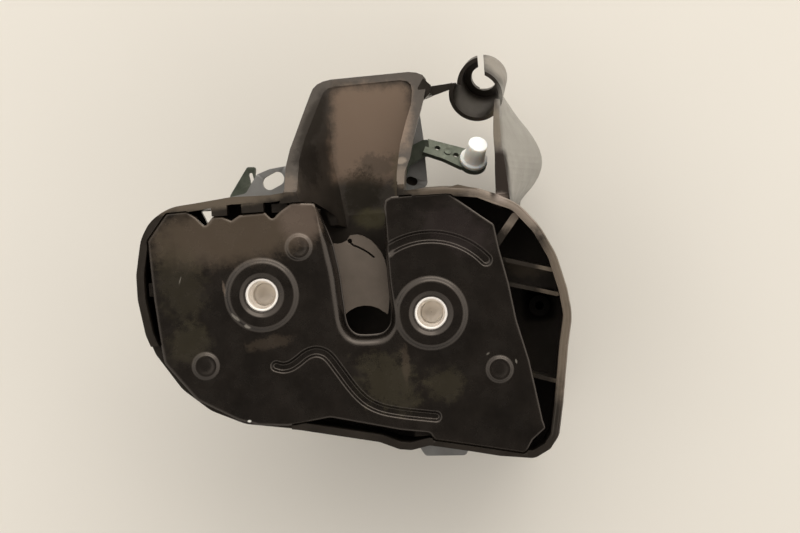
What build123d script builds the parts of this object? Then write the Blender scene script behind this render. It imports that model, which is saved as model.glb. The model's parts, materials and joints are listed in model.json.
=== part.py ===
"""Car door lock, latch side up. Millimetres.

The origin is the axis of the fork's bush at the outer face of the face plate. +Z points out of the face plate,
+Y runs along the striker slot towards its mouth, +X runs from the fork's bush towards the pawl's bush.
"""

import math
import os

from build123d import *

# Face plate and the heights under it
PLATE_T = 2.0
FLANGE_Z = -4.6
FORK_TOP = -5.0
CORE_TOP = -8.4
CORE_BOTTOM = -12.4
FORK_BOTTOM = -12.9
FLOOR_TOP = -17.0
FLOOR_BOTTOM = -19.5
RIM_TOP = 0.5
GROOVE = 1.1
BACK_BOTTOM = -21.9
WALL = 2.2

# The two threaded bushes
PAWL_X = 50.2
PAWL_Y = -9.2
BUSH_NECK_R = 4.95
BUSH_SHANK_R = 6.2
BUSH_BORE_R = 3.4
LEAD_IN_R = 4.2
LEAD_IN_Z = -5.2
RUN = 0.05

# Fork and pawl
FORK_R = 38.0
TOOTH_R = 37.5
CUTBACK_R = 33.0
HUB_R = 11.0
PAWL_ENGAGE = 10.0

# Levers
RELEASE_X = -12.0
RELEASE_Y = -14.0
RELEASE_TOP = -22.2
RELEASE_BOTTOM = -24.4
INSIDE_X = 40.0
INSIDE_Y = 36.0
INSIDE_TOP = -26.2
INSIDE_BOTTOM = -28.2
BRACKET_TOP = -29.7
BRACKET_BOTTOM = -31.7

# Actuator housing
REAR_TOP = -31.7
REAR_ROOF = 2.0
COVER_BOTTOM = -72.0
COVER_T = 2.0
COVER_TOP = COVER_BOTTOM + COVER_T
SEGMENT_BOTTOM = COVER_TOP + 2.4
SEGMENT_TOP = SEGMENT_BOTTOM + 3.0
SLIDER_BOTTOM = SEGMENT_TOP + 0.4
SLIDER_TOP = SLIDER_BOTTOM + 2.6
MOTOR_BOTTOM = SLIDER_TOP + 1.0
MOTOR_TOP = -35.4
GUIDE_BOTTOM = MOTOR_BOTTOM + 2.6
SEGMENT_X = 54.0
SEGMENT_Y = -34.0
MOTOR_X = 70.0
SEGMENT_TEETH = 22
PINION_TEETH = 10
MODULE = 1.0


def corner_edges(points, z):
    """Lines and arcs of a closed outline; each point is x, y and its corner radius."""
    n = len(points)
    arcs = []
    for i in range(n):
        ax, ay = points[i - 1][0], points[i - 1][1]
        bx, by = points[i][0], points[i][1]
        cx, cy = points[(i + 1) % n][0], points[(i + 1) % n][1]
        r = points[i][2] if len(points[i]) > 2 else 0.0
        la = math.hypot(ax - bx, ay - by)
        lc = math.hypot(cx - bx, cy - by)
        ux, uy = (ax - bx) / la, (ay - by) / la
        vx, vy = (cx - bx) / lc, (cy - by) / lc
        inner = math.acos(max(-1.0, min(1.0, ux * vx + uy * vy)))
        if r <= 0.0 or inner > math.radians(179.0):
            arcs.append(((bx, by), None, (bx, by)))
            continue
        t = min(r / math.tan(inner / 2), 0.47 * la, 0.47 * lc)
        r = t * math.tan(inner / 2)
        p = (bx + ux * t, by + uy * t)
        q = (bx + vx * t, by + vy * t)
        mx, my = ux + vx, uy + vy
        lm = math.hypot(mx, my)
        d = r / math.sin(inner / 2) - r
        arcs.append((p, (bx + mx / lm * d, by + my / lm * d), q))
    edges = []
    for i in range(n):
        p, m, q = arcs[i]
        if m is not None:
            edges.append(Edge.make_three_point_arc((*p, z), (*m, z), (*q, z)))
        s = arcs[(i + 1) % n][0]
        if math.hypot(s[0] - q[0], s[1] - q[1]) > 1e-4:
            edges.append(Edge.make_line((*q, z), (*s, z)))
    return edges


def outline(points, z=0.0):
    return Face(Wire(corner_edges(points, z)))


def prism(points, z0, z1):
    return Part() + extrude(outline(points, z0), amount=z1 - z0, dir=(0, 0, 1))


def cyl(x, y, r, z0, z1):
    return Pos(x, y, (z0 + z1) / 2) * Cylinder(r, z1 - z0)


def ring(x, y, inner, outer, z0, z1):
    return cyl(x, y, outer, z0, z1) - cyl(x, y, inner, z0 - 1, z1 + 1)


def box(x0, x1, y0, y1, z0, z1):
    return Pos((x0 + x1) / 2, (y0 + y1) / 2, (z0 + z1) / 2) * Box(x1 - x0, y1 - y0, z1 - z0)


def inset(points, d):
    """The outline moved inwards by d (outwards when d is negative); corner radii follow."""
    n = len(points)
    area = sum(points[i][0] * points[(i + 1) % n][1] - points[(i + 1) % n][0] * points[i][1] for i in range(n))
    s = 1.0 if area > 0 else -1.0
    out = []
    for i in range(n):
        ax, ay = points[i - 1][0], points[i - 1][1]
        bx, by = points[i][0], points[i][1]
        cx, cy = points[(i + 1) % n][0], points[(i + 1) % n][1]
        la = math.hypot(bx - ax, by - ay)
        lc = math.hypot(cx - bx, cy - by)
        n1 = (-(by - ay) / la * s, (bx - ax) / la * s)
        n2 = (-(cy - by) / lc * s, (cx - bx) / lc * s)
        k = 1.0 + n1[0] * n2[0] + n1[1] * n2[1]
        k = max(k, 0.35)
        r = points[i][2] if len(points[i]) > 2 else 0.0
        turn = n1[0] * n2[1] - n1[1] * n2[0]
        convex = turn * s > 0
        r = max(r - d, 0.0) if convex else max(r + d, 0.0)
        out.append((bx + (n1[0] + n2[0]) / k * d, by + (n1[1] + n2[1]) / k * d, r))
    return out


def polar(r, deg, cx=0.0, cy=0.0):
    return cx + r * math.cos(math.radians(deg)), cy + r * math.sin(math.radians(deg))


def arc_points(r, a0, a1, steps, cx=0.0, cy=0.0):
    return [polar(r, a0 + (a1 - a0) * i / steps, cx, cy) for i in range(steps + 1)]


def turned(points, deg, cx, cy):
    c, s = math.cos(math.radians(deg)), math.sin(math.radians(deg))
    out = []
    for p in points:
        x, y = p[0] - cx, p[1] - cy
        out.append((cx + x * c - y * s, cy + x * s + y * c, *p[2:]))
    return out


def band(points, width, z0, z1):
    """A constant-width track with round ends along a chain of points."""
    body = Part()
    for i in range(len(points) - 1):
        (x0, y0), (x1, y1) = points[i][:2], points[i + 1][:2]
        length = math.hypot(x1 - x0, y1 - y0)
        nx, ny = -(y1 - y0) / length * width / 2, (x1 - x0) / length * width / 2
        quad = [(x0 + nx, y0 + ny), (x1 + nx, y1 + ny), (x1 - nx, y1 - ny), (x0 - nx, y0 - ny)]
        body += prism(quad, z0, z1)
    for p in points:
        body += cyl(p[0], p[1], width / 2, z0, z1)
    return body


# Outline of the face plate; the slot's edge here is the bend line of its flange
PLATE = [
    (-33.2, 18.7, 1.2),
    (-26.9, 26.6, 1.2),
    (-20.8, 26.7, 1.0),
    (-18.3, 24.8, 0.6),
    (-15.6, 21.7, 0.8),
    (-13.0, 24.5, 0.8),
    (-10.2, 24.3, 0.5),
    (-7.6, 22.9, 0.5),
    (-5.0, 24.4, 0.5),
    (2.7, 24.6, 0.5),
    (4.7, 22.3, 1.0),
    (7.0, 24.4, 1.0),
    (10.7, 26.9, 1.5),
    (16.6, 26.8, 2.0),
    (17.9, 22.6, 6.0),
    (18.4, 14.0, 16.0),
    (20.4, 1.0, 16.0),
    (20.6, -9.6, 8.0),
    (22.6, -15.0, 6.0),
    (28.6, -18.0, 8.0),
    (35.2, -17.9, 6.0),
    (39.6, -14.2, 6.0),
    (39.2, -2.6, 8.0),
    (38.8, 7.6, 8.0),
    (39.0, 17.0, 3.0),
    (38.2, 23.6, 1.0),
    (38.9, 25.6, 0.8),
    (40.8, 26.6, 0.8),
    (57.7, 26.7, 1.2),
    (67.0, 19.2, 1.5),
    (71.0, 16.1, 1.5),
    (72.1, 8.4, 6.0),
    (74.2, -2.0, 6.0),
    (75.7, -13.2, 6.0),
    (78.6, -25.5, 6.0),
    (81.3, -43.7, 4.0),
    (82.0, -46.2, 1.0),
    (77.8, -49.5, 1.0),
    (75.4, -53.4, 1.5),
    (58.9, -49.6, 4.0),
    (48.2, -47.3, 1.0),
    (47.2, -45.1, 1.5),
    (38.2, -43.5, 5.0),
    (17.6, -38.2, 5.0),
    (8.5, -39.4, 3.0),
    (4.8, -39.7, 2.0),
    (-3.5, -38.9, 4.0),
    (-9.7, -37.0, 4.0),
    (-21.8, -30.0, 4.0),
    (-30.7, -18.3, 3.0),
    (-31.5, -11.8, 2.0),
    (-32.5, 0.9, 5.0),
]

# The moulded rim round the face plate, without the throat
RIM = [
    (9.6, 30.2, 2.0),
    (4.6, 29.7, 4.0),
    (-7.1, 30.0, 4.0),
    (-18.0, 28.9, 4.0),
    (-25.6, 28.3, 14.0),
    (-31.9, 24.6, 12.0),
    (-35.0, 19.2, 12.0),
    (-37.1, 8.8, 10.0),
    (-37.2, 1.3, 10.0),
    (-35.6, -9.4, 10.0),
    (-33.4, -15.5, 6.0),
    (-30.9, -19.4, 8.0),
    (-26.2, -26.6, 10.0),
    (-18.0, -33.7, 10.0),
    (-8.0, -38.4, 10.0),
    (8.3, -41.2, 10.0),
    (32.0, -46.6, 6.0),
    (37.8, -49.2, 3.0),
    (41.4, -49.7, 3.0),
    (46.9, -48.7, 3.0),
    (58.7, -51.3, 6.0),
    (67.6, -53.4, 6.0),
    (78.0, -54.9, 4.0),
    (82.9, -52.4, 3.0),
    (85.3, -49.0, 4.0),
    (87.3, -39.1, 8.0),
    (90.1, -21.8, 10.0),
    (92.0, -12.9, 8.0),
    (91.1, -5.0, 8.0),
    (88.6, 5.4, 10.0),
    (84.4, 14.1, 10.0),
    (78.1, 21.8, 8.0),
    (71.9, 24.3, 4.0),
    (67.0, 26.6, 4.0),
    (57.3, 27.8, 4.0),
    (44.2, 28.2, 1.0),
]

# Throat for the striker: flange edge and inner edge on the sloping rim plane, and the floor's edge
RIM_SLOPE = 0.72
RIM_BEND_Y = 30.0
THROAT_FLANGE = [
    (6.0, 24.0),
    (9.0, 31.0),
    (9.4, 38.0),
    (10.7, 43.4),
    (12.5, 48.2),
    (14.5, 53.7),
    (17.0, 60.4),
    (17.8, 62.2),
    (19.1, 63.5),
    (20.9, 64.3),
    (23.4, 64.8),
    (47.6, 65.4),
    (50.2, 65.0),
    (52.1, 64.1),
    (53.1, 62.7),
    (53.3, 60.9),
    (51.6, 54.3),
    (49.0, 45.8),
    (47.1, 37.8),
    (45.3, 33.7),
    (44.6, 24.0),
]
THROAT_RIM = [
    (11.8, 26.0),
    (12.9, 31.2),
    (13.5, 39.8),
    (15.3, 46.5),
    (20.3, 59.0),
    (21.2, 60.9),
    (22.5, 61.9),
    (24.6, 62.4),
    (45.2, 62.9),
    (47.3, 62.4),
    (48.4, 61.2),
    (48.7, 59.2),
    (48.2, 54.8),
    (46.4, 49.5),
    (44.3, 42.4),
    (43.0, 33.8),
    (42.3, 26.0),
]
THROAT_FLOOR = [
    (26.6, 20.0),
    (24.2, 30.1),
    (22.8, 38.0),
    (22.5, 46.5),
    (22.2, 58.2),
    (22.5, 60.1),
    (23.3, 61.3),
    (25.0, 61.9),
    (44.9, 62.5),
    (46.9, 62.1),
    (48.0, 60.9),
    (48.4, 58.9),
    (47.9, 54.8),
    (46.2, 49.5),
    (44.1, 42.4),
    (42.8, 33.8),
    (41.6, 20.0),
]
FLOOR_SLOPE = 0.14
FLOOR_BEND_Y = 18.0


def slope_rim_z(y):
    return RIM_TOP - RIM_SLOPE * (y - RIM_BEND_Y)


def floor_z(y):
    return FLOOR_TOP - FLOOR_SLOPE * (y - FLOOR_BEND_Y)


def flat_poly(points, height):
    """A face through the points, each lifted to height(y)."""
    pts = [Vector(p[0], p[1], height(p[1])) for p in points]
    edges = [Edge.make_line(pts[i], pts[(i + 1) % len(pts)]) for i in range(len(pts))]
    return Face(Wire(edges))


def slot_void(extra, depth):
    """The drawn mouth of the striker slot: it narrows downwards."""
    pts = [
        (17.9 - extra, 40.0, 0.0),
        (17.9 - extra, 22.6, 6.0),
        (18.4 - extra, 14.0, 16.0),
        (20.4 - extra, 1.0, 16.0),
        (20.6 - extra, -9.6, 8.0),
        (22.6 - 0.7 * extra, -15.0 - 0.7 * extra, 6.0),
        (28.6, -18.0 - extra, 8.0),
        (35.2 + 0.3 * extra, -17.9 - extra, 6.0),
        (39.6 + 0.8 * extra, -14.2 - 0.6 * extra, 6.0),
        (39.2 + extra, -2.6, 8.0),
        (38.8 + extra, 7.6, 8.0),
        (39.0 + extra, 17.0, 3.0),
        (39.0 + extra, 40.0, 0.0),
    ]
    return Part() + extrude(outline(pts, 0.0), amount=-depth, taper=24.0)


def face_plate():
    body = prism(PLATE, -PLATE_T, 0.0)
    body += slot_void(1.7, -FLANGE_Z) & box(10, 50, -30, 21.5, FLANGE_Z, 0.0)
    for x, y in ((0.0, 0.0), (PAWL_X, PAWL_Y)):
        step = Pos(x, y, 0.6) * Cone(11.0, 10.2, 1.2)
        step -= Pos(x, y, 0.6) * Cone(5.7, 6.6, 1.3)
        body += step
        body -= ring(x, y, 6.9, 9.9, -PLATE_T - 1, -PLATE_T + 1.0)
        body -= cyl(x, y, BUSH_NECK_R + 0.05, -5, 3)
    for x, y in ((12.1, 13.5), (-18.3, -20.0), (69.5, -27.5)):
        body += Pos(x, y, 0.4) * Cone(4.2, 3.5, 0.8)
        body -= cyl(x, y, 3.0, -PLATE_T - 1, -PLATE_T + 0.7)
    s_line = [
        (2.3, -21.5),
        (6.8, -21.9),
        (11.5, -18.9),
        (15.5, -18.0),
        (18.4, -19.7),
        (21.6, -24.5),
        (25.7, -30.8),
        (29.3, -34.7),
        (34.2, -37.2),
        (40.1, -38.5),
        (50.5, -40.5),
    ]
    arc_line = arc_points(23.0, 39.5, 112.0, 10, PAWL_X, PAWL_Y)
    arc_line = [p for p in arc_line if p[0] > 41.5]
    for line, width in ((s_line, 3.4), (arc_line, 4.0)):
        body += band(line, width - 0.6, -PLATE_T - 0.9, -PLATE_T + 0.1)
        body -= band(line, width, -GROOVE, 0.6)
    body -= slot_void(0.0, -FLANGE_Z + 0.6)
    body -= cyl(PAWL_X, PAWL_Y, BUSH_NECK_R + 0.05, -5, 3)
    return body


def fork_sweep():
    """Room the turning fork and its hook need above the floor."""
    z0, z1 = FORK_BOTTOM - 0.4, FORK_TOP + 0.35
    arm = prism([(0, 0)] + arc_points(FORK_R + 0.4, -74.0, 31.0, 16), z0, z1)
    hook = prism([(0, 0)] + arc_points(31.6, 30.0, 70.0, 6), z0, z1)
    return arm + hook + cyl(0, 0, 18.6, z0, z1)


def latch_housing():
    tray = prism(RIM, FLOOR_BOTTOM, RIM_TOP)
    tray -= prism(inset(RIM, WALL), FLOOR_TOP, RIM_TOP + 1)
    tray -= prism([(41.4, 15), (42.2, 33), (13.6, 33), (13.6, 26.0), (22.5, 15)], FLOOR_TOP, 2)
    # throat: an outer skin, a sloping flange, and the room inside
    skin_top = inset(THROAT_RIM, -WALL)
    skin_low = inset(THROAT_FLOOR, -WALL)
    skin = loft([flat_poly(skin_top, slope_rim_z), flat_poly(skin_low, lambda y: floor_z(y) - WALL)], ruled=True)
    flange_face = flat_poly(THROAT_FLANGE, slope_rim_z)
    flange = extrude(flange_face, amount=2.2, dir=(0, 0, -1))
    rim_run = [(8.4, 10.0)] + THROAT_RIM[1:-1] + [(41.4, 10.0)]
    floor_run = [(26.8, 10.0)] + THROAT_FLOOR[1:-1] + [(41.0, 10.0)]
    room = loft([flat_poly(rim_run, slope_rim_z), flat_poly(floor_run, floor_z)], ruled=True)
    over = extrude(flat_poly(rim_run, slope_rim_z), amount=30.0, dir=(0, 0, 1))
    cap = box(-10, 60, 10, 70, RIM_TOP, 60)
    throat = (Part() + skin + flange) - cap
    body = tray + throat
    body -= room
    body -= over
    # the floor runs on under the slot
    body += prism([(26.4, 14), (26.4, 22), (41.6, 22), (41.6, 14)], FLOOR_BOTTOM, FLOOR_TOP)
    # pocket for the face plate
    body -= prism(inset(PLATE, -0.15), -PLATE_T, 3.0)
    body -= prism([(-31.6, -13), (-40, -13), (-40, -42), (6, -46), (6, -38)], -PLATE_T, 3.0)
    body -= prism([(15, 24), (15, 31), (43, 31), (43, 24)], -PLATE_T, 3.0)
    body -= slot_void(1.9, 2.8 - FLANGE_Z - 2.6) & box(10, 50, -30, 21.7, FLANGE_Z - 0.15, 0.0)
    # pads under the plate
    for x0, x1, y0, y1 in (
        (-34.0, -28.5, 2.0, 6.0),
        (-27.0, -22.0, 21.5, 25.5),
        (4.6, 9.4, 24.4, 27.0),
        (-26.5, -22.0, -25.5, -21.0),
        (42.5, 47.5, -46.0, -42.0),
        (60.0, 65.0, -49.0, -45.5),
        (52.0, 57.0, 21.0, 25.6),
    ):
        body += box(x0, x1, y0, y1, FLOOR_TOP - 0.5, -PLATE_T)
    # wall under the plate's right edge and the ribs beyond it
    edge = [(66.0, 17.6), (69.6, 14.4), (70.6, 8.0), (72.6, -2.0), (74.2, -13.5), (77.0, -25.5), (79.4, -42.0)]
    body += band(edge, 2.0, FLOOR_TOP - 0.5, -PLATE_T)
    body += band([(70.8, 9.6), (77.4, 17.8)], 2.4, FLOOR_TOP - 0.5, -PLATE_T)
    body += band([(71.6, 5.6), (87.4, 1.0)], 1.2, FLOOR_TOP - 0.5, -PLATE_T)
    body += band([(74.2, 4.85), (87.4, 1.0)], 1.2, -PLATE_T - 1, -1.0)
    body += band([(73.0, -2.0), (88.4, -6.4)], 1.2, FLOOR_TOP - 0.5, -2.2)
    body += prism([(71.6, 5.0), (73.0, -1.4), (88.6, -6.0), (88.0, 0.6)], -9.0, -7.4)
    body += band([(78.4, -30.0), (87.4, -33.0)], 1.2, FLOOR_TOP - 0.5, -3.0)
    body += ring(82.9, -9.7, 1.3, 3.2, FLOOR_TOP - 0.5, -7.0)
    # room for the fork, its hook and the bushes
    body -= fork_sweep()
    body += ring(0, 0, BUSH_SHANK_R + 0.05, 8.2, FLOOR_TOP - 0.5, FORK_BOTTOM - 0.25)
    body += ring(PAWL_X, PAWL_Y, BUSH_SHANK_R + 0.05, 8.2, FLOOR_TOP - 0.5, FORK_BOTTOM - 0.25)
    for x, y in ((0.0, 0.0), (PAWL_X, PAWL_Y)):
        body -= cyl(x, y, BUSH_SHANK_R + 0.05, FLOOR_BOTTOM - 1, FLOOR_TOP + 5)
    # way through for the pawl's pin
    px, py = PAWL_X - 9.0, PAWL_Y - 7.9
    slot = band([(px - 2.6, py + 2.9), (px + 2.6, py - 2.9)], 5.2, FLOOR_BOTTOM - 1, FLOOR_TOP + 1)
    body -= slot
    # drain gap at the upper left corner
    gap = [(-18.9, 26.6), (-17.9, 24.4), (-16.8, 21.6), (-15.4, 21.0), (-15.0, 23.6), (-15.5, 26.6)]
    body -= prism(gap, FLOOR_BOTTOM - 1, FLOOR_TOP + 1)
    # clips over the plate's upper edge
    body += box(-13.2, -8.6, 24.6, 27.6, -4.0, RIM_TOP)
    body += box(-4.2, 2.4, 24.9, 27.6, -4.0, RIM_TOP)
    # seat of the fork's buffer and of the switch
    body += box(-20.6, -19.2, -5.0, 6.5, FLOOR_TOP - 0.5, -8.0)
    body += box(-13.4, -12.1, 18.4, 20.6, FLOOR_TOP - 0.5, -12.0)
    body += box(-1.9, -0.8, 18.4, 23.8, FLOOR_TOP - 0.5, -12.0)
    # ledge beside the throat
    body += prism([(57.4, 27.0), (57.8, 28.0), (61.0, 28.7), (66.8, 27.0), (66.8, 25.5)], -3.0, 0.3)
    # snap web towards the cable holder
    body += prism([(51.0, 55.2), (54.2, 58.0), (54.4, 60.6), (52.4, 62.8), (50.5, 60.0)], -24.0, -20.6)
    return body


def back_plate():
    pts = [
        (-27.0, 17.0, 3.0),
        (-19.0, 18.6, 1.0),
        (-12.0, 19.6, 1.0),
        (-12.4, 30.0, 1.2),
        (-5.0, 31.2, 2.0),
        (-1.2, 36.8, 1.5),
        (3.0, 38.2, 2.0),
        (8.6, 38.8, 2.0),
        (12.0, 34.0, 2.0),
        (17.0, 24.0, 3.0),
        (18.5, 13.0, 3.0),
        (30.0, 10.0, 3.0),
        (57.0, 9.0, 4.0),
        (61.0, -8.0, 5.0),
        (57.0, -36.0, 5.0),
        (24.0, -38.0, 5.0),
        (-4.0, -33.0, 5.0),
        (-24.0, -22.0, 6.0),
    ]
    body = prism(pts, BACK_BOTTOM, FLOOR_BOTTOM)
    for x, y in ((0.0, 0.0), (PAWL_X, PAWL_Y)):
        body -= cyl(x, y, 5.05, -25, -15)
    body -= band([(2.6, 33.9), (5.0, 35.0)], 4.4, -25, -15)
    body -= cyl(RELEASE_X, RELEASE_Y, 3.05, -25, -15)
    px, py = PAWL_X - 9.0, PAWL_Y - 7.9
    body -= band([(px - 2.6, py + 2.9), (px + 2.6, py - 2.9)], 5.2, -25, -15)
    body -= box(-24, -18, -12, -4, -25, -15)
    return body


def bush(x, y):
    body = cyl(x, y, BUSH_NECK_R, -PLATE_T, 0.4)
    body += cyl(x, y, BUSH_SHANK_R, FLOOR_BOTTOM, -PLATE_T)
    body += cyl(x, y, 5.0, BACK_BOTTOM, FLOOR_BOTTOM)
    body -= cyl(x, y, BUSH_BORE_R, -30, 5)
    body -= cyl(x, y, LEAD_IN_R, LEAD_IN_Z, 5)
    body -= Pos(x, y, LEAD_IN_Z - 0.3) * Cone(BUSH_BORE_R, LEAD_IN_R, 0.6)
    return body


# Fork, in its open position
JAW_X = 23.06
JAW_Y = 19.96
JAW_R = 6.4
CUT_X = 29.9
CUT_Y = -14.3
CUT_R = 8.7


def fork_face():
    """Outline of the fork's face, open, counter-clockwise from the horn's tip."""
    pts = arc_points(FORK_R, -13.4, 8.5, 8)
    pts += [(37.2, 7.8), (36.4, 9.9), (35.1, 12.0), (33.4, 13.9), (31.3, 15.3), (29.0, 16.0), (27.3, 15.9)]
    pts += [polar(JAW_R, a, JAW_X, JAW_Y) for a in range(300, 134, -15)]
    pts += [(15.6, 25.2), (8.0, 22.0), (1.0, 16.0)]
    pts += arc_points(HUB_R, 95.0, 128.0, 2)
    pts += [polar(17.0, 133.0), polar(17.5, 140.0), polar(17.0, 148.0)]
    pts += arc_points(HUB_R, 156.0, 300.0, 8)
    pts += [(14.0, -10.6), (21.3, -12.6)]
    pts += [polar(CUT_R, a, CUT_X, CUT_Y) for a in range(165, 30, -15)]
    return pts


def fork_jacket():
    face = fork_face()
    body = prism(face, CORE_TOP, FORK_TOP)
    lining = prism(face, FORK_BOTTOM, CORE_TOP)
    # teeth of the core stand free of the jacket below its face
    free = prism(
        [polar(31.5, 27.0), polar(60.0, 26.0), polar(60.0, 5.0), polar(60.0, -30.0), polar(31.0, -26.0),
         polar(31.5, -12.5), polar(31.5, 5.0)],
        FORK_BOTTOM - 1,
        CORE_TOP,
    )
    lining -= free
    lining -= prism(core_outline(), CORE_BOTTOM, CORE_TOP)
    lining -= cyl(0, 0, 9.4, FORK_BOTTOM - 1, CORE_TOP)
    body += lining
    body += cyl(0, 0, 8.8, CORE_TOP, -2.3)
    body -= cyl(0, 0, BUSH_SHANK_R + RUN, -20, 0)
    # damping slit behind the flank that meets the striker
    slit = [(27.3, 13.6), (28.1, 12.8), (29.6, 12.1), (31.1, 11.2), (32.6, 10.1), (34.0, 8.8)]
    body -= band(slit, 0.6, -7.8, -4.0)
    body -= cyl(27.1, 14.2, 0.7, -7.8, -4.0)
    return body


def core_outline():
    """Outline of the steel core: inside the jacket, with its two locking teeth outside it."""
    pts = []
    pts += [polar(33.0, 25.0), polar(31.0, 27.5)]
    pts += [polar(JAW_R + 1.6, a, JAW_X, JAW_Y) for a in range(285, 149, -15)]
    pts += [(11.5, 21.6), (4.0, 15.0)]
    pts += arc_points(9.4, 80.0, 290.0, 8)
    pts += [(14.0, -9.0), (20.6, -8.4)]
    pts += [polar(CUT_R + 1.2, a, CUT_X, CUT_Y) for a in range(140, 60, -15)]
    pts += [polar(35.6, -10.4), polar(TOOTH_R, -10.0), polar(TOOTH_R, -6.0), polar(33.4, -5.6)]
    pts += [polar(33.4, 2.6), polar(TOOTH_R, 3.4), polar(TOOTH_R, 11.0), polar(CUTBACK_R, 11.5)]
    pts += [polar(CUTBACK_R, 18.0)]
    return pts


def fork_core():
    body = prism(core_outline(), CORE_BOTTOM, CORE_TOP)
    body -= cyl(0, 0, BUSH_SHANK_R + RUN, -20, 0)
    return body


def pawl():
    engaged = [
        (*polar(33.6, -42.8), 0.5),
        (*polar(33.6, -36.8), 0.5),
        (34.5, -17.6, 3.0),
        (44.0, -3.0, 3.0),
        (PAWL_X + 1.0, PAWL_Y + 9.0, 4.0),
        (PAWL_X + 9.0, PAWL_Y + 1.0, 4.0),
        (PAWL_X + 8.0, PAWL_Y - 6.0, 4.0),
        (PAWL_X - 1.0, PAWL_Y - 10.0, 4.0),
        (36.0, -26.6, 3.0),
        (*polar(39.6, -42.4), 0.8),
    ]
    body = prism(turned(engaged, PAWL_ENGAGE, PAWL_X, PAWL_Y), CORE_BOTTOM, CORE_TOP - 0.3)
    body += cyl(PAWL_X, PAWL_Y, 9.6, CORE_BOTTOM, CORE_TOP - 0.3)
    body -= cyl(PAWL_X, PAWL_Y, BUSH_SHANK_R + RUN, -20, 0)
    body -= cyl(PAWL_X - 9.0, PAWL_Y - 7.9, 1.6, -20, 0)
    return body


def pawl_pin():
    x, y = PAWL_X - 9.0, PAWL_Y - 7.9
    body = cyl(x, y, 2.0, -25.6, CORE_BOTTOM)
    body += cyl(x, y, 1.6, CORE_BOTTOM, CORE_TOP + 0.2)
    body += cyl(x, y, 2.4, CORE_TOP - 0.3, CORE_TOP + 0.3)
    return body


def pawl_jacket():
    body = ring(PAWL_X, PAWL_Y, BUSH_SHANK_R + RUN, 8.8, CORE_TOP - 0.3, -2.3)
    body += ring(PAWL_X, PAWL_Y, BUSH_SHANK_R + RUN, 9.6, CORE_TOP - 0.3, -6.0)
    body += prism(
        [(56.0, -5.0, 1.0), (66.0, -2.0, 2.0), (67.0, -6.0, 2.0), (57.5, -12.0, 1.0)], CORE_TOP - 0.3, -6.0
    )
    body -= cyl(PAWL_X, PAWL_Y, BUSH_SHANK_R + RUN, -20, 0)
    return body


def coil(x, y, radius, wire, z0, z1, turns, start, legs):
    """Torsion spring: a coil with straight legs; legs are (angle, length, height) from the coil's circle."""
    pitch = (z1 - z0) / turns
    path = Helix(pitch=pitch, height=z1 - z0, radius=radius)
    section = Plane(origin=(radius, 0, 0), x_dir=(1, 0, 0), z_dir=(0, 1, 0)) * Circle(wire / 2)
    body = sweep(section, path=path, is_frenet=True)
    body = Pos(x, y, z0) * Rot(0, 0, start) * body
    out = Part() + body
    for angle, length, z, side in legs:
        px, py = polar(radius, angle, x, y)
        tx, ty = polar(1.0, angle + 90.0 * side)
        mid = (px + tx * length / 2, py + ty * length / 2, z)
        rod = Cylinder(wire / 2, length)
        plane = Plane(origin=mid, z_dir=(tx, ty, 0))
        out += plane * rod
        out += Pos(px, py, z) * Sphere(wire / 2)
    return out


def fork_spring():
    z0, z1 = FLOOR_TOP + 0.75, FORK_BOTTOM - 0.85
    return coil(0, 0, 9.1, 1.3, z0, z1, 1.75, 0.0, [(0.0, 9.0, z0, -1), (270.0, 9.0, z1, 1)])


def pawl_spring():
    z0, z1 = FLOOR_TOP + 0.65, FORK_BOTTOM - 0.85
    return coil(PAWL_X, PAWL_Y, 9.1, 1.2, z0, z1, 1.75, 40.0, [(40.0, 9.0, z0, -1), (310.0, 9.0, z1, 1)])


def fork_buffer():
    body = prism(
        [(-19.1, -4.6, 0.8), (-19.1, 5.2, 0.8), (-16.4, 5.2, 1.0), (-13.6, 8.3, 1.0), (-12.2, 5.6, 1.0), (-13.4, -4.6, 1)],
        FLOOR_TOP,
        -6.4,
    )
    body -= cyl(-16.2, 0.0, 1.2, -20, 0)
    return body


def latch_switch():
    body = box(-12.0, -2.0, 18.6, 23.6, FLOOR_TOP, -10.6)
    body += cyl(-9.4, 21.1, 0.9, -10.7, -10.1) + cyl(-4.6, 21.1, 0.9, -10.7, -10.1)
    body += box(-8.4, -6.6, 17.9, 18.7, -14.6, -12.8)
    return body


def release_lever():
    upper = [
        (-17.4, -12.0, 3.0),
        (-15.6, 10.0, 8.0),
        (-12.2, 22.0, 4.0),
        (-10.2, 31.0, 2.0),
        (-4.3, 39.4, 0.8),
        (-1.7, 39.2, 0.6),
        (-2.2, 35.4, 0.3),
        (-0.8, 34.4, 0.5),
        (-3.2, 29.0, 3.0),
        (-6.4, 16.0, 6.0),
        (-7.6, 0.0, 6.0),
        (-6.8, -12.0, 3.0),
    ]
    lower = [
        (-12.0, -20.0, 3.0),
        (14.0, -20.6, 6.0),
        (30.0, -24.0, 4.0),
        (34.6, -23.6, 1.5),
        (34.6, -18.6, 1.5),
        (14.0, -13.0, 6.0),
        (-8.0, -8.4, 3.0),
    ]
    body = prism(upper, RELEASE_BOTTOM, RELEASE_TOP) + prism(lower, RELEASE_BOTTOM, RELEASE_TOP)
    body += cyl(RELEASE_X, RELEASE_Y, 6.2, RELEASE_BOTTOM, RELEASE_TOP)
    body -= cyl(RELEASE_X, RELEASE_Y, 3.05, -30, -15)
    body -= band([(-3.4, 36.9), (-3.0, 34.4)], 1.3, -30, -15)
    body += box(33.2, 35.2, -23.4, -18.8, -26.4, RELEASE_TOP)
    return body


def release_pin():
    body = cyl(RELEASE_X, RELEASE_Y, 3.0, -29.2, FLOOR_BOTTOM)
    body += cyl(RELEASE_X, RELEASE_Y, 5.2, -29.8, -28.6)
    return body


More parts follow.
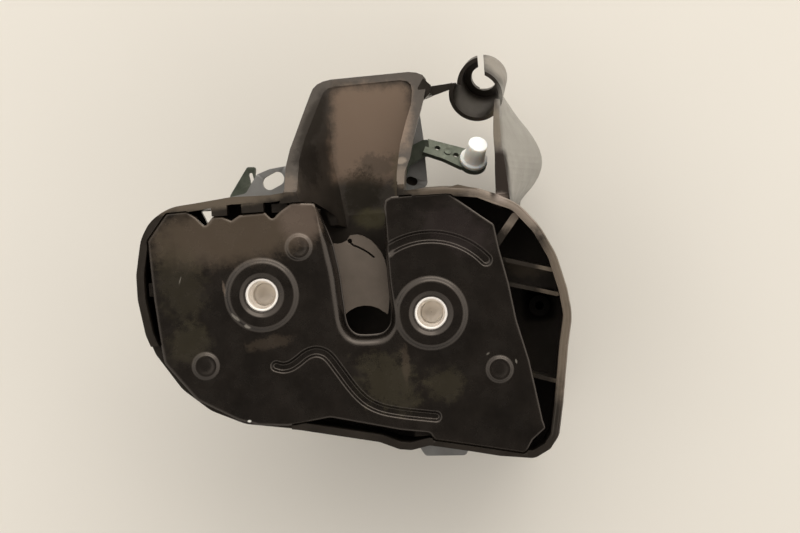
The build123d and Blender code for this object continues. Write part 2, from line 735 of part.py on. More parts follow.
def release_spring():
    z0, z1 = -28.0, -25.0
    return coil(RELEASE_X, RELEASE_Y, 4.2, 1.1, z0, z1, 2.5, 90.0, [(90.0, 8.0, z0, -1), (270.0, 10.0, z1, 1)])


ARM_X = 51.7
ARM_Y = 41.3
CLIP_X = 65.6
CLIP_Y = 35.6
TILT = 42.0
CLIP_DEPTH = 6.4
ARM_T = 1.5


def arm_frame():
    """Frame of the lever's tilted end: x along the arm, z out of its face, origin at the clip's axis."""
    dx, dy = CLIP_X - ARM_X, CLIP_Y - ARM_Y
    angle = math.degrees(math.atan2(dy, dx))
    return Pos(CLIP_X, CLIP_Y, (INSIDE_TOP + INSIDE_BOTTOM) / 2) * Rot(0, 0, angle) * Rot(-TILT, 0, 0)


def inside_lever():
    half = (INSIDE_TOP - INSIDE_BOTTOM) / 2
    leg = [
        (36.0, 34.0, 3.0),
        (39.0, 41.2, 3.0),
        (46.0, 42.0, 3.0),
        (50.6, 43.9, 1.0),
        (52.4, 43.9, 0.6),
        (52.4, 38.7, 0.6),
        (50.6, 38.5, 1.5),
        (45.0, 35.6, 3.0),
        (41.6, 14.0, 1.5),
        (37.6, 14.0, 1.5),
    ]
    body = prism(leg, INSIDE_BOTTOM, INSIDE_TOP)
    body += cyl(INSIDE_X, INSIDE_Y, 5.6, INSIDE_BOTTOM, INSIDE_TOP)
    body -= cyl(INSIDE_X, INSIDE_Y, 2.55, -40, -15)
    length = math.hypot(CLIP_X - ARM_X, CLIP_Y - ARM_Y)
    strip = [
        (-length - 0.6, -3.0, 0.0),
        (-length - 0.6, 3.0, 0.0),
        (-length + 5.0, 3.5, 2.0),
        (-2.0, 4.2, 1.0),
        (-2.0, -4.2, 1.0),
        (-length + 6.0, -3.0, 2.0),
    ]
    arm = prism(strip, half - ARM_T, half)
    arm += cyl(0, 0, 4.5, half - ARM_T, half)
    arm -= cyl(0, 0, 2.25, -5, 5)
    arm -= cyl(-length + 3.2, 0.6, 0.9, -5, 5)
    arm -= cyl(-5.6, 0.2, 0.9, -5, 5)
    arm += Pos(-length + 6.6, 0.3, half + 0.15) * Cylinder(1.2, 0.5)
    body += arm_frame() * arm
    return body - prism([(30, 46), (51.0, 46), (51.0, 34), (30, 34)], -40.0, INSIDE_BOTTOM)


def inside_pin():
    body = cyl(INSIDE_X, INSIDE_Y, 2.5, BRACKET_BOTTOM, -25.0)
    body += cyl(INSIDE_X, INSIDE_Y, 4.4, -25.9, -24.9)
    body += ring(INSIDE_X, INSIDE_Y, 2.0, 3.6, BRACKET_TOP, INSIDE_BOTTOM - 0.05)
    return body


def rod_clip():
    """Push-in clip for the rod: the rod's end comes in from below, and the barrel's top is closed."""
    half = (INSIDE_TOP - INSIDE_BOTTOM) / 2
    under = half - ARM_T
    body = cyl(0, 0, 4.3, half + 0.05, half + 1.3)
    body += Pos(0, 0, half + 4.6) * Cone(3.3, 2.95, 6.8)
    body += cyl(0, 0, 2.2, under - 1.0, half + 0.2)
    body += Pos(0, 0, under - 0.75) * Cone(2.2, 3.0, 1.4)
    body -= cyl(0, 0, 1.4, -10, half + CLIP_DEPTH)
    body -= box(-0.35, 0.35, -5, 5, under - 3, under)
    return arm_frame() * body


def lever_bracket():
    pts = [
        (34.0, 10.0, 3.0),
        (34.5, 40.0, 5.0),
        (42.0, 44.0, 3.0),
        (44.2, 55.0, 1.5),
        (50.0, 55.0, 1.0),
        (50.8, 43.7, 3.0),
        (51.0, 30.0, 2.0),
        (46.0, 26.0, 3.0),
        (41.0, 20.0, 3.0),
        (41.0, -15.0, 5.0),
        (45.0, -20.6, 3.0),
        (60.0, -23.0, 4.0),
        (57.4, -52.0, 2.0),
        (57.4, -56.0, 1.5),
        (44.0, -55.2, 1.5),
        (40.0, -48.0, 2.0),
        (36.0, -30.0, 4.0),
    ]
    body = prism(pts, BRACKET_BOTTOM, BRACKET_TOP)
    body -= cyl(INSIDE_X, INSIDE_Y, 2.55, -40, -15)
    body -= band([(45.6, 31.6), (46.6, 31.2)], 2.6, -40, -15)
    body -= band([(48.0, -28.0), (48.0, -41.0)], 6.0, -40, -15)
    return body


REAR = [
    (16.0, 14.0, 3.0),
    (18.0, 19.5, 3.0),
    (62.0, 19.5, 2.0),
    (72.0, 21.5, 2.0),
    (79.0, 20.0, 3.0),
    (84.0, 10.0, 6.0),
    (86.6, -6.0, 8.0),
    (84.5, -40.0, 8.0),
    (80.0, -49.0, 5.0),
    (58.5, -48.6, 2.0),
    (38.0, -46.0, 4.0),
    (20.0, -40.0, 6.0),
    (15.0, -30.0, 4.0),
]
POSTS = ((24.0, -34.0), (81.4, -43.0), (66.0, 12.0), (24.0, 12.0))
# The bay behind the pawl's bush: the fixing screw's end runs free in it
BAY = [(41.4, 40.0), (41.4, -19.0, 6.0), (60.6, -19.0, 6.0), (60.6, 40.0)]
BAY_WALL = 1.6


# The web's upper and lower edges along y: y, inner x and outer x above, z above, outer x and inner x below, z below
WEB = [
    (18.6, 73.6, 77.2, -32.0, 79.2, 76.2, -66.0),
    (23.0, 72.2, 76.4, -8.0, 80.3, 77.1, -65.0),
    (28.0, 72.3, 76.1, -10.0, 85.0, 82.0, -63.5),
    (33.0, 72.5, 75.8, -13.0, 87.8, 85.1, -61.5),
    (38.0, 72.8, 75.4, -17.0, 88.0, 85.4, -60.0),
    (44.0, 72.8, 75.1, -21.5, 85.5, 83.1, -58.5),
    (51.0, 73.4, 75.2, -26.5, 80.7, 78.8, -56.0),
    (57.0, 74.4, 76.2, -30.5, 77.2, 75.6, -53.0),
]


def between(rows, t):
    """A smooth row through the rows, t counted in rows."""
    i = min(int(t), len(rows) - 2)
    f = t - i
    p0, p1, p2, p3 = (rows[min(max(i + k, 0), len(rows) - 1)] for k in (-1, 0, 1, 2))
    out = []
    for a, b, c, d in zip(p0, p1, p2, p3):
        out.append(b + 0.5 * f * (c - a + f * (2 * a - 5 * b + 4 * c - d + f * (3 * (b - c) + d - a))))
    return out


def web():
    """The thin curved web between rim and cable cup; it leans outwards as it goes down."""
    faces = []
    last = len(WEB) - 1
    steps = [0.0, 1.0] + [1.0 + (last - 1) * k / 15 for k in range(1, 16)]
    for t in steps:
        y, xa, xb, za, xc, xd, zb = between(WEB, t) if t > 1.0 else WEB[int(t)]
        pts = [Vector(xa, y, za), Vector(xb, y, za), Vector(xc, y, zb), Vector(xd, y, zb)]
        edges = [Edge.make_line(pts[i], pts[(i + 1) % 4]) for i in range(4)]
        faces.append(Face(Wire(edges)))
    return Part() + loft(faces, ruled=True)


CUP_NEAR = (68.2, 56.8, -30.0)
CUP_FAR = (71.4, 63.75, -47.0)
CUP_R = 8.6
CUP_FAR_R = 7.4
CUP_WALL = 1.2


def cup_frame():
    near, far = Vector(*CUP_NEAR), Vector(*CUP_FAR)
    axis = (far - near).normalized()
    length = (far - near).length
    return Plane(origin=near + axis * (length / 2), z_dir=axis), length


def cable_cup():
    """Cup with a slit: the cable's end piece is pushed in from the slit's side."""
    frame, length = cup_frame()
    cup = Cone(CUP_R, CUP_FAR_R, length)
    cup -= Pos(0, 0, -1.2) * Cone(CUP_R - CUP_WALL, CUP_FAR_R - CUP_WALL + 0.1, length - 1.4)
    cup -= Cylinder(4.1, length + 4)
    body = Part() + frame * cup
    body -= prism([(69.6, 60.0), (71.5, 60.0), (71.5, 78.0), (69.6, 78.0)], -60, -20)
    return body


def cable_holder():
    frame, length = cup_frame()
    body = web() - prism(inset(RIM, -0.15), -21, 3)
    body -= prism(REAR, COVER_BOTTOM, REAR_TOP)
    body -= frame * Cone(CUP_R - 0.6, CUP_FAR_R - 0.6, length + 0.2)
    body += cable_cup()
    # strut from the throat's corner to the cup
    body += prism([(54.0, 57.6), (60.2, 59.4), (61.4, 61.4), (54.0, 60.8)], -33.0, -31.2)
    body += prism([(52.2, 56.9), (54.4, 57.7), (54.4, 60.9), (52.2, 60.4)], -33.0, -24.0)
    return body


def rear_housing():
    outer = prism(REAR, COVER_TOP, REAR_TOP)
    bay = prism(BAY, COVER_BOTTOM - 1, REAR_TOP + 1)
    body = outer - prism(inset(REAR, 2.0), COVER_TOP - 1, REAR_TOP - REAR_ROOF)
    body += prism(inset(BAY, -BAY_WALL), COVER_TOP, REAR_TOP - 1) & outer
    # posts that carry the latch housing
    for x, y in POSTS:
        body += cyl(x, y, 3.3, COVER_TOP, REAR_TOP)
    for x, y in POSTS[1:3]:
        body += cyl(x, y, 4.0, REAR_TOP - 0.5, FLOOR_BOTTOM)
    body += cyl(24.0, -34.0, 3.6, REAR_TOP - 0.5, BACK_BOTTOM)
    body -= bay
    # ledge that carries the lever bracket's end
    body += prism([(33.0, 18.0), (41.3, 18.0), (47.6, 26.0), (48.4, 34.0), (44.0, 38.0), (35.0, 36.0)], -33.7, REAR_TOP)
    # motor cradle
    inside = prism(inset(REAR, 0.5), -80, -20)
    body += box(66.0, 74.0, -48.4, -45.1, GUIDE_BOTTOM, REAR_TOP - 1) & inside
    body += box(58.6, 61.1, -41.0, -27.0, GUIDE_BOTTOM, REAR_TOP - 1)
    body += box(78.9, 81.0, -38.0, -30.0, GUIDE_BOTTOM, REAR_TOP - 1)
    # socket for the plug
    sock = box(4.0, 17.0, -28.0, -6.0, -58.0, -44.0)
    sock -= box(3.0, 15.6, -26.4, -7.6, -56.4, -45.6)
    body += sock
    # guide rail of the slider
    body += box(30.2, 31.8, -42.6, 14.0, GUIDE_BOTTOM, REAR_TOP - 1)
    # posts' screw holes seen from below
    for x, y in POSTS:
        body -= cyl(x, y, 1.3, COVER_TOP - 1, COVER_TOP + 12)
    body -= connector_pins()
    return body


def rear_cover():
    body = prism(REAR, COVER_BOTTOM, COVER_TOP) - prism(BAY, COVER_BOTTOM - 1, COVER_TOP + 1)
    for x, y in POSTS:
        body -= cyl(x, y, 1.7, COVER_BOTTOM - 1, COVER_TOP + 1)
    body += cyl(SEGMENT_X, SEGMENT_Y, 2.5, COVER_TOP - 0.5, SEGMENT_TOP + 1.2)
    # rail beside the slider
    body += box(29.4, 30.8, -38.0, 10.0, COVER_TOP - 0.5, SLIDER_TOP - 0.4)
    return body


def cover_screws():
    out = Part()
    for x, y in POSTS:
        screw = cyl(x, y, 3.0, COVER_BOTTOM - 1.4, COVER_BOTTOM)
        screw += cyl(x, y, 1.25, COVER_BOTTOM - 0.2, COVER_TOP + 9)
        screw -= cyl(x, y, 1.2, COVER_BOTTOM - 3, COVER_BOTTOM - 0.5)
        out += screw
    return out


def gear(teeth, start, count, z0, z1):
    """Spur gear or sector with involute flanks, tooth 0 centred on start degrees."""
    pitch_r = MODULE * teeth / 2
    base_r = pitch_r * math.cos(math.radians(20))
    tip_r = pitch_r + 0.85 * MODULE
    root_r = pitch_r - 1.2 * MODULE
    inv = math.tan(math.radians(20)) - math.radians(20)
    half = math.pi / (2 * teeth) + inv - 0.06 / pitch_r
    body = Part() + cyl(0, 0, root_r, z0, z1)
    for k in range(count):
        centre = math.radians(start) + 2 * math.pi * k / teeth
        side = []
        for i in range(6):
            r = max(base_r, root_r) + (tip_r - max(base_r, root_r)) * i / 5
            roll = math.sqrt(max((r / base_r) ** 2 - 1, 0.0))
            side.append((r, half - (roll - math.atan(roll))))
        pts = [(root_r - 0.4, side[0][1])] + side
        right = [(r * math.cos(centre - a), r * math.sin(centre - a)) for r, a in pts]
        left = [(r * math.cos(centre + a), r * math.sin(centre + a)) for r, a in reversed(pts)]
        body += prism(right + left, z0, z1)
    return body


def lock_segment():
    step = 360.0 / SEGMENT_TEETH
    body = Part() + gear(SEGMENT_TEETH, -2.5 * step, 6, SEGMENT_BOTTOM, SEGMENT_TOP)
    body += prism(
        [(0, -6.5, 2.0), (0, 6.5, 2.0), (-21.0, 2.6, 2.4), (-21.0, -2.6, 2.4)], SEGMENT_BOTTOM, SEGMENT_TOP
    )
    body += cyl(-19.0, 0, 1.6, SEGMENT_TOP - 0.2, SLIDER_TOP + 0.6)
    body = Pos(SEGMENT_X, SEGMENT_Y, 0) * body
    body -= cyl(SEGMENT_X, SEGMENT_Y, 2.55, -80, -50)
    return body


def motor_pinion():
    body = Pos(MOTOR_X, SEGMENT_Y, 0) * gear(
        PINION_TEETH, 180.0, PINION_TEETH, SEGMENT_BOTTOM - 0.2, SEGMENT_TOP + 1.2
    )
    body += cyl(MOTOR_X, SEGMENT_Y, 1.0, COVER_TOP + 0.6, MOTOR_BOTTOM - 0.3)
    return body


def motor():
    body = cyl(MOTOR_X, SEGMENT_Y, 11.0, MOTOR_BOTTOM, MOTOR_TOP)
    body &= box(MOTOR_X - 8.8, MOTOR_X + 8.8, -60, 0, MOTOR_BOTTOM - 1, MOTOR_TOP + 1)
    body += cyl(MOTOR_X, SEGMENT_Y, 4.0, MOTOR_BOTTOM - 1.0, MOTOR_BOTTOM + 0.1)
    body += cyl(MOTOR_X, SEGMENT_Y, 3.0, MOTOR_TOP - 0.2, REAR_TOP - REAR_ROOF)
    body -= cyl(MOTOR_X, SEGMENT_Y, 1.05, MOTOR_BOTTOM - 2, MOTOR_BOTTOM + 8)
    return body


def lock_slider():
    body = box(31.0, 39.0, -37.0, 9.0, SLIDER_BOTTOM, SLIDER_TOP)
    body -= band([(33.6, SEGMENT_Y), (36.8, SEGMENT_Y)], 3.7, SLIDER_BOTTOM - 5, SLIDER_TOP + 5)
    body += box(33.0, 37.0, 3.0, 8.0, SLIDER_TOP - 0.2, -34.0)
    return body


def lock_switch():
    top = COVER_TOP + 6.4
    body = box(18.6, 28.4, -2.0, 4.0, COVER_TOP, top)
    body += cyl(21.0, 1.0, 0.9, top - 0.1, top + 0.5) + cyl(26.0, 1.0, 0.9, top - 0.1, top + 0.5)
    return body


def connector_pins():
    out = Part()
    for i in range(4):
        for z in (-53.6, -48.4):
            y = -23.6 + i * 4.4
            out += box(9.2, 20.5, y - 0.35, y + 0.35, z - 0.35, z + 0.35)
    return out


def main():
    os.makedirs("parts", exist_ok=True)
    parts = {
        "face_plate": face_plate(),
        "latch_housing": latch_housing(),
        "back_plate": back_plate(),
        "fork_bush": bush(0.0, 0.0),
        "pawl_bush": bush(PAWL_X, PAWL_Y),
        "fork_core": fork_core(),
        "fork_jacket": fork_jacket(),
        "fork_spring": fork_spring(),
        "fork_buffer": fork_buffer(),
        "latch_switch": latch_switch(),
        "pawl": pawl(),
        "pawl_pin": pawl_pin(),
        "pawl_jacket": pawl_jacket(),
        "pawl_spring": pawl_spring(),
        "release_lever": release_lever(),
        "release_pin": release_pin(),
        "release_spring": release_spring(),
        "inside_lever": inside_lever(),
        "inside_pin": inside_pin(),
        "rod_clip": rod_clip(),
        "lever_bracket": lever_bracket(),
        "rear_housing": rear_housing(),
        "cable_holder": cable_holder(),
        "rear_cover": rear_cover(),
        "cover_screws": cover_screws(),
        "motor": motor(),
        "motor_pinion": motor_pinion(),
        "lock_segment": lock_segment(),
        "lock_slider": lock_slider(),
        "lock_switch": lock_switch(),
        "connector_pins": connector_pins(),
    }
    for name, shape in parts.items():
        export_step(shape, f"parts/{name}.step")
        count = len(shape.solids())
        print(name, count, round(shape.volume, 1), shape.is_valid)


main()
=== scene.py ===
import json
import math

import bpy
import numpy as np
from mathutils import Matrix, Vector
from mathutils.geometry import delaunay_2d_cdt


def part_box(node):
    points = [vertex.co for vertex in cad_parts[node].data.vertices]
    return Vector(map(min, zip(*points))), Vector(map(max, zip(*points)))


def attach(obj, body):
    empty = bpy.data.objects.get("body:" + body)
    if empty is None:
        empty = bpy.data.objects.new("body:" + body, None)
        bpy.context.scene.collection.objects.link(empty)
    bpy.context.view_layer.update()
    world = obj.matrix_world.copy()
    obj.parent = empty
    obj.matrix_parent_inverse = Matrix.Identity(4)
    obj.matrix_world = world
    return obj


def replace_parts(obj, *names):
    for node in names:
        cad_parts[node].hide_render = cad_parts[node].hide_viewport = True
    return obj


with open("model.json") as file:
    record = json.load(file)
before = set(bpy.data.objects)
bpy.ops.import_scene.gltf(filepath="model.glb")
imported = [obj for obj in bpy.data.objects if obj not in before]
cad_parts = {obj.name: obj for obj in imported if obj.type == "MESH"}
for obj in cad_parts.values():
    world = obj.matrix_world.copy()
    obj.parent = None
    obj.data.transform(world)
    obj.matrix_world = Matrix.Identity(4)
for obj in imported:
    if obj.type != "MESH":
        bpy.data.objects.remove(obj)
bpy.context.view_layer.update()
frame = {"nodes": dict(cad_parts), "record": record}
NODES = frame["nodes"]
SLOT_OF = {s["node"]: s["material_slot"] for s in frame["record"]["subparts"]}
MM = 0.001


# Shader nodes
def rgba(colour):
    return (*colour, 1.0)


def feed(nt, value, socket):
    """Gives a socket another node's output, a number, a vector or a colour."""
    if isinstance(value, bpy.types.NodeSocket):
        nt.links.new(value, socket)
    else:
        socket.default_value = value


def operation(nt, node, kind, *values):
    """A node of the named type, set to one operation, with its inputs in their order."""
    n = nt.nodes.new(node)
    n.operation = kind
    for value, socket in zip(values, n.inputs):
        feed(nt, value, socket)
    return n


def scalar(nt, kind, *values):
    return operation(nt, "ShaderNodeMath", kind, *values).outputs[0]


def vector(nt, kind, *values):
    return operation(nt, "ShaderNodeVectorMath", kind, *values)


def mixed(nt, factor, under, over, blend="MIX"):
    mix = nt.nodes.new("ShaderNodeMixRGB")
    mix.blend_type = blend
    for value, socket in zip((factor, under, over), mix.inputs):
        feed(nt, value, socket)
    return mix.outputs[0]


def spread(nt, value, source, target, kind="LINEAR"):
    """Maps one range of values onto another."""
    n = nt.nodes.new("ShaderNodeMapRange")
    n.interpolation_type = kind
    for name, limit in zip(("From Min", "From Max", "To Min", "To Max"), (*source, *target)):
        n.inputs[name].default_value = limit
    nt.links.new(value, n.inputs[0])
    return n.outputs[0]


def ramp(nt, value, stops):
    """Two colours, each with the value up to which or from which it is pure."""
    r = nt.nodes.new("ShaderNodeValToRGB")
    for element, (place, colour) in zip(r.color_ramp.elements, stops):
        element.position = place
        element.color = rgba(colour)
    nt.links.new(value, r.inputs[0])
    return r


def noise(nt, scale, detail, rough=0.6):
    place = nt.nodes.new("ShaderNodeTexCoord")
    n = nt.nodes.new("ShaderNodeTexNoise")
    n.inputs["Scale"].default_value = scale
    n.inputs["Detail"].default_value = detail
    n.inputs["Roughness"].default_value = rough
    nt.links.new(place.outputs["Object"], n.inputs[0])
    return n.outputs[0]


# The noise that frays a patch's border: scale, detail and roughness
FRAY = (260.0, 7.0, 0.75)


def spot(nt, centre, radii, angle, ragged, square):
    """A soft, ragged patch round a place on the part, in millimetres: 1 in its middle, 0 outside."""
    softness = 0.3 if square else 0.55
    local = nt.nodes.new("ShaderNodeMapping")
    local.vector_type = "TEXTURE"
    local.inputs["Location"].default_value = [c * MM for c in centre]
    local.inputs["Rotation"].default_value = (0.0, 0.0, math.radians(angle))
    local.inputs["Scale"].default_value = [r * MM for r in radii]
    nt.links.new(nt.nodes.new("ShaderNodeTexCoord").outputs["Object"], local.inputs[0])
    place = local.outputs[0]
    if square:
        # Squared twice, for a patch with nearly straight sides
        for _ in range(2):
            place = vector(nt, "MULTIPLY", place, place).outputs[0]
    length = scalar(nt, "POWER", vector(nt, "LENGTH", place).outputs["Value"], 0.25 if square else 1.0)
    warp = scalar(nt, "MULTIPLY_ADD", noise(nt, *FRAY), 2.0 * ragged, -ragged)
    return spread(nt, scalar(nt, "ADD", length, warp), (1.0, 1.0 - softness), (0.0, 1.0), "SMOOTHSTEP")


def new_material(name):
    """An empty material, its node tree and its shader."""
    m = bpy.data.materials.new(name)
    m.use_nodes = True
    nt = m.node_tree
    nt.nodes.clear()
    out = nt.nodes.new("ShaderNodeOutputMaterial")
    shader = nt.nodes.new("ShaderNodeBsdfPrincipled")
    nt.links.new(shader.outputs[0], out.inputs[0])
    return m, nt, shader


# How deep light scatters in white plastic, in metres, with its share for red, green and blue
SCATTER_DEPTH = 0.003
SCATTER_SHARES = (1.0, 0.85, 0.7)
GRAIN_DEPTH = 0.0001


def material(name, dark, light, rough, metal=0.0, scale=90.0, grain=0.0, grain_scale=2500.0, specular=0.5,
             tint=(1.0, 1.0, 1.0), scatter=0.0, spots=()):
    """A mottled surface between two colours, with its patches of dirt and wear, of painted shade and of
    painted sheen and highlights, and a fine grain.
    """
    m, nt, shader = new_material(name)
    sockets = shader.inputs
    colour = ramp(nt, noise(nt, scale, 6.0, 0.65), [(0.34, dark), (0.68, light)]).outputs[0]
    shine = specular
    for centre, radii, angle, over, strength, ragged, *kind in spots:
        patch = spot(nt, centre, radii, angle, ragged, "square" in kind)
        cover = scalar(nt, "MULTIPLY", patch, strength)
        colour = mixed(nt, cover, colour, rgba(over))
        if "matt" in kind:
            dulled = scalar(nt, "MULTIPLY_ADD", cover, -specular, specular)
            shine = scalar(nt, "MINIMUM", shine, dulled)
    feed(nt, colour, sockets["Base Color"])
    feed(nt, shine, sockets["Specular IOR Level"])
    feed(nt, spread(nt, noise(nt, scale * 2.3, 6.0), (0.3, 0.7), rough), sockets["Roughness"])
    sockets["Metallic"].default_value = metal
    sockets["Specular Tint"].default_value = rgba(tint)
    sockets["Subsurface Weight"].default_value = scatter
    if scatter:
        sockets["Subsurface Scale"].default_value = SCATTER_DEPTH
        sockets["Subsurface Radius"].default_value = SCATTER_SHARES
    if grain:
        bump = nt.nodes.new("ShaderNodeBump")
        bump.inputs["Strength"].default_value = grain
        bump.inputs["Distance"].default_value = GRAIN_DEPTH
        nt.links.new(noise(nt, grain_scale, 3.0), bump.inputs["Height"])
        nt.links.new(bump.outputs[0], sockets["Normal"])
    return m


# Patches of colour: dirt and wear, and painted shade, sheen, highlights and reflections
WARM = (1.0, 0.86, 0.74)
# The next two browns are dust colours, and also a painted sheen on the plate's upper left
BROWN_DUST_AND_SHEEN = (0.066, 0.049, 0.034)
PINK_DUST_AND_SHEEN = (0.105, 0.078, 0.060)
OLIVE = (0.052, 0.044, 0.026)
BARE = (0.42, 0.38, 0.32)
# Near black, for painted shade
PAINTED_SHADE = (0.0035, 0.003, 0.0025)
# Each patch in millimetres: centre, half sizes, turn, colour, strength, raggedness, and what kind it is
PLATE_SPOTS = [
    # Dust and a painted sheen over the plate's upper left
    ((-8.0, 19.0, 0.0), (34.0, 12.0, 6.0), 3.0, BROWN_DUST_AND_SHEEN, 0.95, 0.45),
    ((-24.0, 6.0, 0.0), (9.0, 17.0, 6.0), 10.0, OLIVE, 0.28, 1.0),
    # The sheen's lighter pink end: dust and painted sheen
    ((13.0, 21.5, 0.0), (9.0, 8.0, 6.0), -60.0, PINK_DUST_AND_SHEEN, 0.85, 0.3),
    ((-23.0, -13.0, 0.0), (9.0, 7.0, 6.0), 30.0, OLIVE, 0.35, 0.8),
    ((36.0, -29.0, 0.0), (13.0, 10.0, 6.0), -35.0, OLIVE, 0.38, 1.2),
    ((41.5, -24.0, 0.0), (1.6, 7.0, 6.0), 0.0, BROWN_DUST_AND_SHEEN, 0.45, 1.0),
    ((1.0, -14.5, 0.0), (9.0, 2.6, 6.0), 5.0, BROWN_DUST_AND_SHEEN, 0.35, 1.1),
    ((53.0, -31.0, 0.0), (8.0, 6.0, 6.0), 0.0, OLIVE, 0.35, 0.9),
    ((60.0, 15.0, 0.0), (14.0, 8.0, 6.0), -30.0, (0.020, 0.015, 0.014), 0.8, 0.6),
    ((-8.3, -6.2, 0.6), (1.7, 0.55, 2.0), -45.0, BARE, 0.45, 1.6),
    ((-4.9, -9.2, 0.6), (1.0, 0.6, 2.0), -30.0, BARE, 0.55, 1.4),
    ((-11.3, 3.0, 0.6), (0.5, 3.4, 2.0), 5.0, (0.16, 0.12, 0.09), 0.5, 1.2),
    ((-6.6, -37.5, 0.0), (0.75, 0.5, 1.5), 0.0, (0.80, 0.78, 0.70), 0.9, 0.2),
    ((-24.2, 6.2, 0.0), (0.22, 1.5, 1.5), -20.0, BARE, 0.30, 0.7),
    ((66.3, -22.6, 0.0), (0.7, 0.4, 1.5), 30.0, BARE, 0.25, 1.2),
    ((74.6, -25.6, 0.0), (0.35, 0.9, 1.5), 10.0, BARE, 0.30, 1.2),
]
THROAT_SPOTS = [
    ((35.2, 47.0, -18.0), (14.4, 17.5, 12.0), -3.0, (0.142, 0.098, 0.068), 0.95, 0.20, "square"),
    ((36.0, 37.0, -19.0), (8.0, 6.0, 8.0), 0.0, (0.030, 0.023, 0.017), 0.55, 1.2),
    ((31.0, 28.0, -19.0), (8.5, 10.0, 8.0), 0.0, (0.014, 0.012, 0.008), 0.7, 0.9, "matt"),
    ((19.0, 45.0, -9.0), (7.0, 25.0, 7.5), -20.0, (0.0085, 0.0068, 0.0054), 0.75, 0.6, "matt"),
    ((17.0, 50.0, -16.0), (3.5, 20.0, 12.0), -23.0, (0.016, 0.013, 0.010), 0.7, 0.5, "matt"),
    ((43.5, 30.5, -18.0), (3.6, 12.0, 9.0), 5.0, (0.085, 0.066, 0.038), 0.8, 0.5),
    ((33.5, 20.5, -17.0), (7.0, 4.5, 4.0), 0.0, (0.060, 0.052, 0.028), 0.8, 0.6),
    # Painted shadow on the throat's wall down to the fork
    ((23.5, 20.0, -9.0), (8.0, 8.5, 6.0), 0.0, PAINTED_SHADE, 1.0, 0.2),
    # Painted highlight: a thin pale streak down the left of the throat's floor
    ((26.0, 48.2, -15.0), (0.50, 6.2, 6.0), 3.0, (0.150, 0.110, 0.085), 0.6, 0.6),
    # Wear and a painted highlight where the throat's rim bends into the tray's rim
    ((44.4, 37.2, -6.0), (2.2, 1.5, 6.0), 0.0, (0.200, 0.160, 0.120), 0.7, 0.5),
]
RIM_SPOTS = [
    # Dust and painted sheen: the rim lighter and browner on its right side, its upper right and its upper
    # left
    ((88.5, -10.0, -1.0), (7.0, 40.0, 4.5), 0.0, (0.125, 0.098, 0.072), 0.95, 0.4),
    ((75.0, 21.0, -1.0), (20.0, 8.0, 4.5), -30.0, (0.205, 0.165, 0.130), 0.95, 0.4),
    ((-12.0, 29.0, -0.5), (30.0, 3.4, 3.5), 3.0, (0.105, 0.083, 0.060), 0.95, 0.4),
    # Wear and a painted highlight where the throat's rim bends into the tray's rim
    ((44.7, 32.0, -3.0), (4.0, 4.5, 9.0), 0.0, (0.110, 0.085, 0.062), 0.8, 0.5),
    # Dust and painted sheen along the rim's top edge right of the throat
    ((56.0, 27.3, -1.0), (14.0, 2.2, 4.0), 0.0, (0.100, 0.077, 0.056), 0.8, 0.5),
    # Painted highlight where the rim curves at the throat's left
    ((10.5, 32.0, -3.0), (3.5, 5.0, 6.0), 20.0, (0.090, 0.068, 0.050), 0.8, 0.6),
    ((79.0, 3.0, -8.0), (9.0, 5.0, 3.0), -15.0, (0.075, 0.058, 0.040), 0.8, 0.6),
    ((77.5, -26.0, -8.0), (4.0, 20.0, 12.0), -5.0, (0.030, 0.025, 0.013), 0.5, 0.7),
    # Painted shade, matt, over the screw post in the recess beside the rim
    ((82.9, -9.7, -10.0), (6.0, 6.0, 9.0), 0.0, PAINTED_SHADE, 1.0, 0.1, "square", "matt"),
]
WEB_SPOTS = [
    # Dusty haze and painted sheen over the web's outer face
    ((82.5, 41.0, -40.0), (8.5, 21.0, 30.0), 0.0, (0.300, 0.285, 0.250), 0.72, 0.15, "square"),
    ((73.6, 46.0, -25.0), (2.6, 9.0, 60.0), 0.0, (0.110, 0.090, 0.062), 0.7, 0.5),
    ((73.6, 31.0, -25.0), (3.6, 8.5, 60.0), 0.0, (0.022, 0.017, 0.014), 0.95, 0.2, "square", "matt"),
    # Painted reflection: a pale pink patch at the web's foot
    ((73.5, 23.5, -25.0), (3.4, 3.2, 40.0), 0.0, (0.330, 0.270, 0.230), 0.8, 0.4),
    # Dusty haze and painted sheen on the cup's outside
    ((76.0, 66.0, -40.0), (7.0, 9.0, 14.0), 0.0, (0.240, 0.215, 0.180), 0.75, 0.35),
]

